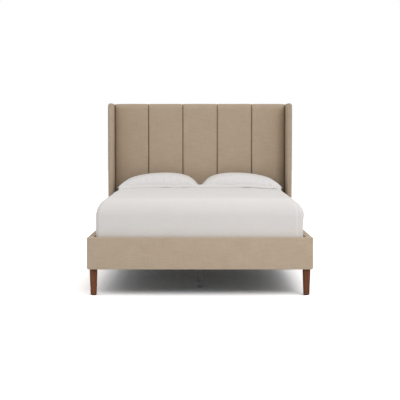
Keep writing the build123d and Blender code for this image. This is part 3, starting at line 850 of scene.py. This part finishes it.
def mattress_pad():
    """A block's profile, carried round an outline with rounded corners: flat underneath, a
    quarter circle at the base, straight up the side, and a quarter ellipse on the shoulder."""
    x, y, z = spans("mattress_cover")
    z = (z[0], z[1] - pad_top_drop)
    shoulder, tall = pad_shoulder
    half = (x[1] - x[0]) / 2
    turn = np.linspace(0, math.pi / 2, 12)
    floor_in = np.linspace(half, pad_base, 24)[:-1]
    side_z = np.arange(z[0] + pad_base, z[1] - tall, pad_gap)[1:]
    top_in = np.linspace(shoulder, half, 26)[1:]
    profile = np.concatenate(
        (
            np.stack((floor_in, 0 * floor_in + z[0]), -1),
            np.stack((1 - np.sin(turn), 1 - np.cos(turn)), -1) * pad_base + (0, z[0]),
            np.stack((0 * side_z, side_z), -1),
            np.stack((shoulder * (1 - np.cos(turn)), z[1] - tall * (1 - np.sin(turn))), -1),
            np.stack((top_in, 0 * top_in + z[1]), -1),
        )
    )
    ring = outline(x, y, pad_corners, profile[:, 0], pad_gap)
    grid = np.zeros((*ring.shape[:2], 3))
    grid[..., :2] = ring
    grid[..., 2] = profile[:, 1:]
    pad = skin("mattress_pad", grid)
    finish_piece(pad, ticking, "ticking", "mattress", "mattress_cover", "mattress_core")
    return pad


mattress_pad()

# ---- Coverlet
# One large white cotton coverlet, laid over the mattress and tucked down inside the rails at the
# foot and both sides, so that it is drawn smooth over rounded shoulders.

white_bedding = bedding_white("white_bedding", srgb(239, 236, 234), 0.003)


def tucked_line(x, y, corners, insets, gap=0.02, turns=24):
    """U-shaped lines: down the left side, across the foot and up the right side, drawn in by each
    inset. Each foot corner is turned on an arc, whose radius falls evenly to nothing where the
    two sides meet in the middle."""
    insets = np.asarray(insets, float)[:, None]
    turn = np.linspace(0, math.pi / 2, turns)
    arcs = []
    for corner in corners:
        radius = corner * (1 - insets / ((x[1] - x[0]) / 2))
        far = x[0] + insets + radius * (1 - np.cos(turn))
        near = y[0] + insets + radius * (1 - np.sin(turn))
        arcs.append(np.stack((far, near), -1))
    left = arcs[0]
    right = arcs[1][:, ::-1] * (-1, 1) + (x[0] + x[1], 0)
    side_share = np.linspace(0, 1, int((y[1] - y[0]) / gap))[:-1, None]
    foot_share = np.linspace(0, 1, int((x[1] - x[0]) / gap))[1:-1, None]
    head = np.stack((x[0] + insets[:, 0], 0 * insets[:, 0] + y[1]), -1)[:, None]
    down = head + (left[:, :1] - head) * side_share
    foot = left[:, -1:] + (right[:, :1] - left[:, -1:]) * foot_share
    head = head * (-1, 1) + (x[0] + x[1], 0)
    up = right[:, -1:] + (head - right[:, -1:]) * (1 - side_share)[::-1]
    return np.concatenate((down, left, foot, right, up), 1)


fold_front = spans("sheet_turndown")[1][0]
bedding_rise = 0.016  # how much fuller the bedding is where the sheet is turned down
bedding_droop = 0.016  # how far it settles from there towards each side
rise_start = -0.3  # where along the bed it starts to rise
droop_across = (0.42, 0.78)  # where across the bed it starts and ends to settle
cover_shoulder = (0.1005, 0.13)  # depth and height of the coverlet's rounded shoulder
cover_corners = (0.03, 0.06)  # radii of its upright corners at the foot, left and right
cover_thickness = 0.005
# Gathers along the shoulders: distance down from the top's edge, and height or depth
gathers = ((0.012, 0.007), (0.036, -0.006), (0.060, 0.007), (0.086, -0.006))
gather_width = 0.008
gather_start = -0.5  # where along the bed they start
left_gathers = 0.6  # their share on the left side
corner_fold = 0.005  # height of the upright fold at the right-hand corner
slump = (0.6, 0.06, 0.008)  # the right side's fuller band: height, width and fullness
hollow = (0.045, 0.03, 0.010)  # the dip in its shoulder: inset, width and depth


def smooth(value, start, end):
    """0 up to start, 1 from end, and an S-curve between: 3 squares less 2 cubes of the share."""
    share = np.clip((value - start) / (end - start), 0, 1)
    return share**2 * (3 - 2 * share)


def fullness(across, along):
    """How far the bedding stands above its level top, at a place across and along the bed: an
    S-curve from a little below the middle to the sheet, less an S-curve towards each side."""
    settle = bedding_droop * smooth(np.abs(across), *droop_across)
    return smooth(along, rise_start, fold_front) * (bedding_rise - settle)


def ridge(distance, width):
    """A soft ridge: the bell curve of the distance from its line."""
    return np.exp(-((distance / width) ** 2))


def thicken(piece, thickness):
    """Gives a sheet its thickness, inwards from its outer face."""
    wall = piece.modifiers.new("wall", "SOLIDIFY")
    wall.thickness = thickness
    wall.offset = -1


def coverlet_sheet():
    """The coverlet's section, carried round its U-shaped edge: straight up, over a quarter ellipse
    and level to the middle. Then it is moved along its own normals. It is a little uneven all
    over, has small gathers along each shoulder towards the head, fewer on the left, a fuller band
    and a dip along the right side, and one upright fold at the right-hand corner of the foot.
    Last, it is raised towards the head."""
    x, y, z = spans("coverlet")
    shoulder, tall = cover_shoulder
    turn = np.linspace(0, math.pi / 2, 32)
    side_z = np.arange(z[0], z[1] - tall, 0.012)
    half = (x[1] - x[0]) / 2
    near_edge = 0.16  # the gathers and the dip lie within this inset
    top_in = np.concatenate(
        (np.arange(shoulder, near_edge, 0.004)[1:], np.linspace(near_edge, half, 40))
    )
    profile = np.concatenate(
        (
            np.stack((0 * side_z, side_z), -1),
            np.stack((shoulder * (1 - np.cos(turn)), z[1] - tall * (1 - np.sin(turn))), -1),
            np.stack((top_in, 0 * top_in + z[1]), -1),
        )
    )
    ring = tucked_line(x, y, cover_corners, profile[:, 0])
    grid = np.zeros((*ring.shape[:2], 3))
    grid[..., :2] = ring
    grid[..., 2] = profile[:, 1:]
    out = np.gradient(ring[0], axis=0)[:, ::-1] * (1, -1)
    out /= np.linalg.norm(out, axis=1, keepdims=True)
    share = np.gradient(profile, axis=0)[:, ::-1]
    share /= np.linalg.norm(share, axis=1, keepdims=True)
    height = unevenness(grid, 0.45, 0.0016, 71) + unevenness(grid, 0.16, 0.0004, 72)
    right = np.clip(out[:, 0], 0, 1)
    left = np.clip(-out[:, 0], 0, 1)
    along = smooth(grid[..., 1], gather_start, fold_front)
    step = np.linalg.norm(np.diff(profile, axis=0, prepend=profile[:1]), axis=1)
    down = np.cumsum(step)[:, None]
    down = down[len(side_z) + len(turn) - 1] - down
    for place, depth in gathers:
        spread = 1.3 - 0.3 * along  # they lie further apart towards the foot
        line = ridge(down - place * spread, gather_width)
        height += depth * along * line * (right + left_gathers * left)
    below = np.clip((z[1] - profile[:, 1:]) / 0.1, 0, 1)
    band = slump[2] * ridge(profile[:, 1:] - slump[0], slump[1]) * below
    dip = hollow[2] * ridge(profile[:, :1] - hollow[0], hollow[1])
    height += (band - dip) * right
    turned_by = np.arctan2(out[:, 0], -out[:, 1]) / (math.pi / 2)  # 0 at the foot, 1 at the side
    upright = ridge(turned_by - 0.5, 0.12) - ridge(turned_by - 0.2, 0.1)
    height += corner_fold * upright * below
    height *= np.clip((grid[..., 2] - z[0]) / 0.06, 0.2, 1)  # it is flatter where it is tucked in
    grid[..., :2] += out * (height * share[:, :1])[..., None]
    grid[..., 2] += height * share[:, 1:]
    level = np.clip((grid[..., 2] - z[1] + tall) / tall, 0, 1)
    grid[..., 2] += fullness(grid[..., 0], grid[..., 1]) * level
    cover = skin("bed_coverlet", grid)
    thicken(cover, cover_thickness)
    finish_piece(cover, white_bedding, "white_bedding", "mattress", "coverlet")


coverlet_sheet()

# ---- Turned-down sheet
# The top sheet's end, folded back over the coverlet in front of the pillows as a soft, slightly
# open roll.

sheet_thickness = 0.004
sheet_sink = 0.002  # how far it presses into the coverlet
sheet_fall = 0.006  # from the roll's top to the pillows
sheet_front = 0.03  # depth of the front edge that lifts here and there
sheet_end = 0.03  # width of each flattened end of the roll
end_drawn_back = 0.012


def turned_sheet():
    """The sheet's section along the bed, carried across it: a lower layer, two quarter ellipses
    that meet at the front, the upper one deeper, and an upper layer that falls by the square of
    the distance from the roll. It follows the coverlet down over its rounded shoulders. The ends
    of the roll are flatter and drawn back, and its front edge lifts here and there."""
    x, y, z = spans("sheet_turndown")
    tall = z[1] - z[0] - bedding_rise
    across = np.linspace(x[0], x[1], 220)
    front_height = 0.32 * tall
    lower_depth, upper_depth = 0.3 * tall, 1.3 * tall
    lower = np.linspace(y[1], y[0] + lower_depth, 14)
    turn = np.linspace(-math.pi / 2, math.pi / 2, 21)[1:]
    depth = np.where(turn < 0, lower_depth, upper_depth) * (1 - np.cos(turn))
    rise = np.where(turn < 0, front_height, tall - front_height) * np.sin(turn)
    upper = np.linspace(y[0] + upper_depth, y[1], 14)[1:]
    fall = sheet_fall * ((upper - upper[0]) / (upper[-1] - upper[0])) ** 2
    line = np.concatenate(
        (
            np.stack((lower, 0 * lower), -1),
            np.stack((y[0] + depth, front_height + rise), -1),
            np.stack((upper, tall - fall), -1),
        )
    )
    grid = np.zeros((len(line), len(across), 3))
    grid[..., 0] = across
    grid[..., 1] = line[:, :1]
    side = spans("coverlet")[0][1]
    into = np.clip(1 - (side - np.abs(across)) / cover_shoulder[0], 0, 1)
    drop = cover_shoulder[1] * (1 - np.sqrt(1 - into**2))
    low = z[0] - sheet_sink + fullness(across, fold_front) - drop
    end = np.clip((np.abs(across) - x[1] + sheet_end) / sheet_end, 0, 1) ** 2
    level = np.stack((across, 0 * across, 0 * across), -1)
    soft = unevenness(level, 0.22, 0.003, 81)
    grid[..., 2] = low + line[:, 1:] * (1 - 0.5 * end + soft / tall)
    front = ridge(line[:, :1] - y[0], sheet_front) * (line[:, 1:] < tall / 2)
    lifted = unevenness(level, 0.16, 0.006, 83)
    grid[..., 2] += front * np.clip(lifted - 0.001, 0, 0.003)
    grid[..., 1] += unevenness(grid * (1, 0, 0), 0.3, 0.004, 82) - end_drawn_back * end
    sheet = skin("turned_sheet", grid)
    thicken(sheet, sheet_thickness)
    finish_piece(sheet, white_bedding, "white_bedding", "mattress", "sheet_turndown")
    length = float(np.linalg.norm(np.diff(line, axis=0), axis=1).sum())


turned_sheet()

# ---- Pillows
# Two plump pillows in plain cotton cases, side by side against the headboard. Each case has a
# seam all round, which its filling draws in between the pointed corners.

pillow_cotton = bedding_white("white_pillowcase", srgb(241, 239, 238), 0.0012)
seam_height = 0.0125  # of the pillow's seam above its underside
seam_lip = 0.006
seam_half = 0.0015  # half the thickness of the lip
side_pull = (0.03, 0.05)  # how far its sides and its ends draw in, as shares of half its size
top_slack = 0.011  # height left for the filling to raise
base_slack = 0.002


def from_ends(length, lip, count):
    """Places along a length: three close together at each end, for the seam, and even between."""
    return np.concatenate(
        ((0, lip / 2), np.linspace(lip, length - lip, count), (length - lip / 2, length))
    )


def dome(share, fuller, plumper=(2.3, 0.56), flatter=(2.0, 0.58), lean=0.15):
    """A pillow's height across it, from 0 at each end to 1: 1 minus a power of the distance from
    its highest point, raised to a second power. The highest point leans to the fuller side."""
    top = lean * fuller
    away = (share - top) / (1 - top * np.sign(share - top))
    towards = np.sign(away) == fuller
    power = np.where(towards, plumper[0], flatter[0])
    round_off = np.where(towards, plumper[1], flatter[1])
    return np.clip(1 - np.abs(away) ** power, 0, 1) ** round_off


def fill_out(piece, held, surplus, pressure, furthest, frames=16):
    """Inflates a closed cover whose cloth is surplus too large, by cloth simulation. The held
    vertices keep their places, and no other moves more than furthest."""
    mesh = piece.data
    before = np.zeros(len(mesh.vertices) * 3, np.float32)
    mesh.vertices.foreach_get("co", before)
    before = before.reshape(-1, 3)
    group = piece.vertex_groups.new(name="held")
    group.add(np.flatnonzero(held(before)).tolist(), 1.0, "REPLACE")
    filling = piece.modifiers.new("filling", "CLOTH")
    cloth = filling.settings
    cloth.quality = 7
    cloth.mass = 0.2
    cloth.tension_stiffness = 30
    cloth.compression_stiffness = 30
    cloth.shear_stiffness = 12
    cloth.bending_stiffness = 0.6
    cloth.use_pressure = True
    cloth.uniform_pressure_force = pressure
    cloth.shrink_min = -surplus
    cloth.vertex_group_mass = "held"
    cloth.effector_weights.gravity = 0
    filling.collision_settings.use_collision = False
    filling.point_cache.frame_start = 1
    filling.point_cache.frame_end = frames
    scene = bpy.context.scene
    for frame in range(1, frames + 1):
        scene.frame_set(frame)
    found = piece.evaluated_get(bpy.context.evaluated_depsgraph_get()).to_mesh()
    after = np.zeros_like(before)
    found.vertices.foreach_get("co", after.reshape(-1))
    move = after - before
    far = np.linalg.norm(move, axis=1, keepdims=True)
    move *= np.minimum(1, furthest * np.tanh(far / furthest) / np.maximum(far, 1e-9))
    piece.modifiers.remove(filling)
    piece.vertex_groups.clear()
    scene.frame_set(1)
    mesh.vertices.foreach_set("co", (before + move).astype(np.float32).ravel())
    mesh.update()


def pillow(side):
    """A pillow's upper and lower faces, which meet in a thin lip along the seam. Each side is
    drawn in between the corners by 1 minus the square of the distance along it from its middle.
    The height is the product of a dome across and a dome along."""
    x, y, z = spans(f"pillowcase_{side}")
    seam = z[0] + seam_height
    wide, long = x[1] - x[0], y[1] - y[0]
    across = from_ends(wide, seam_lip, 118)
    along = from_ends(long, seam_lip, 78)
    grid_u, grid_v = np.meshgrid(across / wide * 2 - 1, along / long * 2 - 1)
    top = np.zeros((*grid_u.shape, 3))
    drawn_u = 1 - side_pull[0] * (1 - grid_v**2) * grid_u**2
    drawn_v = 1 - side_pull[1] * (1 - grid_u**2) * grid_v**2
    top[..., 0] = sum(x) / 2 + wide / 2 * grid_u * drawn_u
    top[..., 1] = sum(y) / 2 + long / 2 * grid_v * drawn_v
    inner_u = np.clip(grid_u / (1 - 2 * seam_lip / wide), -1, 1)
    inner_v = np.clip(grid_v / (1 - 2 * seam_lip / long), -1, 1)
    fuller = 1 if side == "left" else -1
    rise = dome(inner_u, fuller) * dome(inner_v, 1, (2.2, 0.5), (2.4, 0.5), 0.1)
    edge = (np.abs(grid_u) < 1) & (np.abs(grid_v) < 1)  # all but the outermost points
    top[..., 2] = seam + seam_half * edge + (z[1] - seam - top_slack) * rise
    bottom = top.copy()
    belly = np.clip(rise * 2.5, 0, 1)  # it rests flat, so its underside falls faster to its lowest
    bottom[..., 2] = seam - seam_half * edge - (seam - z[0] - base_slack) * belly
    case = skin(f"pillow_case_{side}", top, bottom)
    fill_out(
        case,
        held=lambda points: points[:, 2] < seam + 1.2 * seam_half,
        surplus=0.03,
        pressure=3.0,
        furthest=0.010,
    )
    finish_piece(
        case,
        pillow_cotton,
        "white_pillowcase",
        f"pillow_{side}",
        f"pillowcase_{side}",
        f"pillow_{side}",
    )


for side in ("left", "right"):
    pillow(side)

# ---- Studio
# A white floor with a painted shadow under the bed, a white background, soft light all round and a
# large soft key from the right.


def background():
    """Soft light that grows from the horizon to overhead and towards the front, and plain white
    where the background itself is seen, reflected or looked through."""
    world = bpy.data.worlds.new("studio")
    bpy.context.scene.world = world
    world.use_nodes = True
    tree = world.node_tree
    heading = add_node(tree, "ShaderNodeTexCoord").outputs["Generated"]
    parts = add_node(tree, "ShaderNodeSeparateXYZ", ((0, heading),)).outputs
    light = 0.0
    for axis, far, strength in sky_parts:
        inputs = ((0, parts[axis]), (2, far), (4, strength))
        part = add_node(tree, "ShaderNodeMapRange", inputs).outputs[0]
        light = work_out(tree, "ADD", light, part)
    rays = add_node(tree, "ShaderNodeLightPath").outputs
    seen = work_out(tree, "MAXIMUM", rays["Is Camera Ray"], rays["Is Glossy Ray"])
    seen = work_out(tree, "MAXIMUM", seen, rays["Is Transmission Ray"])
    inputs = ((0, seen), (3, light), (4, 1.0))
    level = add_node(tree, "ShaderNodeMapRange", inputs).outputs[0]
    tree.links.new(level, tree.nodes["Background"].inputs["Strength"])
    tree.nodes["Background"].inputs["Color"].default_value = (1, 1, 1, 1)


# Each part of the sky's light: its axis, the end of it where it is full, and its strength there
sky_parts = (("Z", 1.0, 0.67), ("Y", -1.0, 0.03), ("X", 1.0, 0.67), ("X", -1.0, 0.63))
background()


floor_reach = 30  # half the floor's width
floor_base = 0.7  # its real tone
floor_painted_shadow_reach = 1.2  # how far round a place on it the bed deepens its painted shadow
floor_gain = 2.0  # how much brighter it is seen than lit
# The painted shadow where it is seen: the share of the sky that is open, and the colour painted
# there, darker and bluer under the bed
floor_painted_shadow_tones = (
    (0.03, (0.30, 0.375, 0.475)),
    (0.07, (0.305, 0.375, 0.46)),
    (0.09, (0.34, 0.40, 0.48)),
    (0.12, (0.40, 0.46, 0.53)),
    (0.17, (0.50, 0.55, 0.60)),
    (0.25, (0.65, 0.68, 0.72)),
    (0.35, (0.75, 0.78, 0.81)),
    (0.5, (0.84, 0.85, 0.86)),
    (0.62, (0.96, 0.96, 0.96)),
    (0.7, (1.0, 1.0, 1.0)),
)


def floor():
    """A pale floor. Where it is seen, the part that is open to the sky is raised to white, and a
    shadow, darker and bluer where less of the sky is open, is painted under and round the bed."""
    ends = np.array((-floor_reach, floor_reach))
    corners = np.zeros((2, 2, 3))
    corners[..., 0] = ends[:, None]
    corners[..., 1] = ends[::-1]
    plane = skin("floor", corners)
    made = bpy.data.materials.new("floor")
    made.use_nodes = True
    tree = made.node_tree
    tree.nodes.remove(tree.nodes["Principled BSDF"])
    # painted shadow: the colour seen is painted from how much of the sky is open
    open_sky = add_node(tree, "ShaderNodeAmbientOcclusion", (("Distance", floor_painted_shadow_reach),))
    stops = [(share, (*tone, 1.0)) for share, tone in floor_painted_shadow_tones]
    raised = tone_ramp(tree, open_sky.outputs["AO"], stops)
    inputs = ((0, raised), ("Scale", floor_gain))
    gained = add_node(tree, "ShaderNodeVectorMath", inputs, operation="SCALE").outputs[0]
    rays = add_node(tree, "ShaderNodeLightPath").outputs
    mixed = add_node(tree, "ShaderNodeMix", data_type="RGBA")
    lit, seen = (socket for socket in mixed.inputs if socket.type == "RGBA")
    lit.default_value = (floor_base, floor_base, floor_base, 1.0)
    tree.links.new(gained, seen)
    tree.links.new(rays["Is Camera Ray"], mixed.inputs["Factor"])
    (colour,) = (socket for socket in mixed.outputs if socket.type == "RGBA")
    diffuse = add_node(tree, "ShaderNodeBsdfDiffuse", (("Color", colour),))
    tree.links.new(diffuse.outputs[0], tree.nodes["Material Output"].inputs[0])
    plane.data.materials.append(made)


floor()


def lamp(name, place, aim, size, power, tint):
    """A square soft lamp that faces a point."""
    light = bpy.data.lights.new(name, "AREA")
    light.color = tint
    light.size = size
    light.energy = power
    holder = bpy.data.objects.new(name, light)
    bpy.context.scene.collection.objects.link(holder)
    holder.location = place
    facing = Vector(aim) - Vector(place)
    holder.rotation_euler = facing.to_track_quat("-Z", "Y").to_euler()


lamp(
    "key",
    place=(3.2, -6.0, 4.6),
    aim=(0, 0, 0.7),
    size=2.6,
    power=136,
    tint=(1.0, 0.975, 0.965),
)

view_distance = 9.167  # from the bed's middle to the camera
view_height = 1.146
view_down = 3.156  # degrees below the level
camera = bpy.data.cameras.new("camera")
camera.lens = 100
camera.sensor_width = 36
eye = bpy.data.objects.new("camera", camera)
bpy.context.scene.collection.objects.link(eye)
eye.location = (0, -view_distance, view_height)
eye.rotation_euler = (math.radians(90 - view_down), 0, 0)
bpy.context.scene.camera = eye
bpy.context.scene.view_settings.view_transform = "Standard"
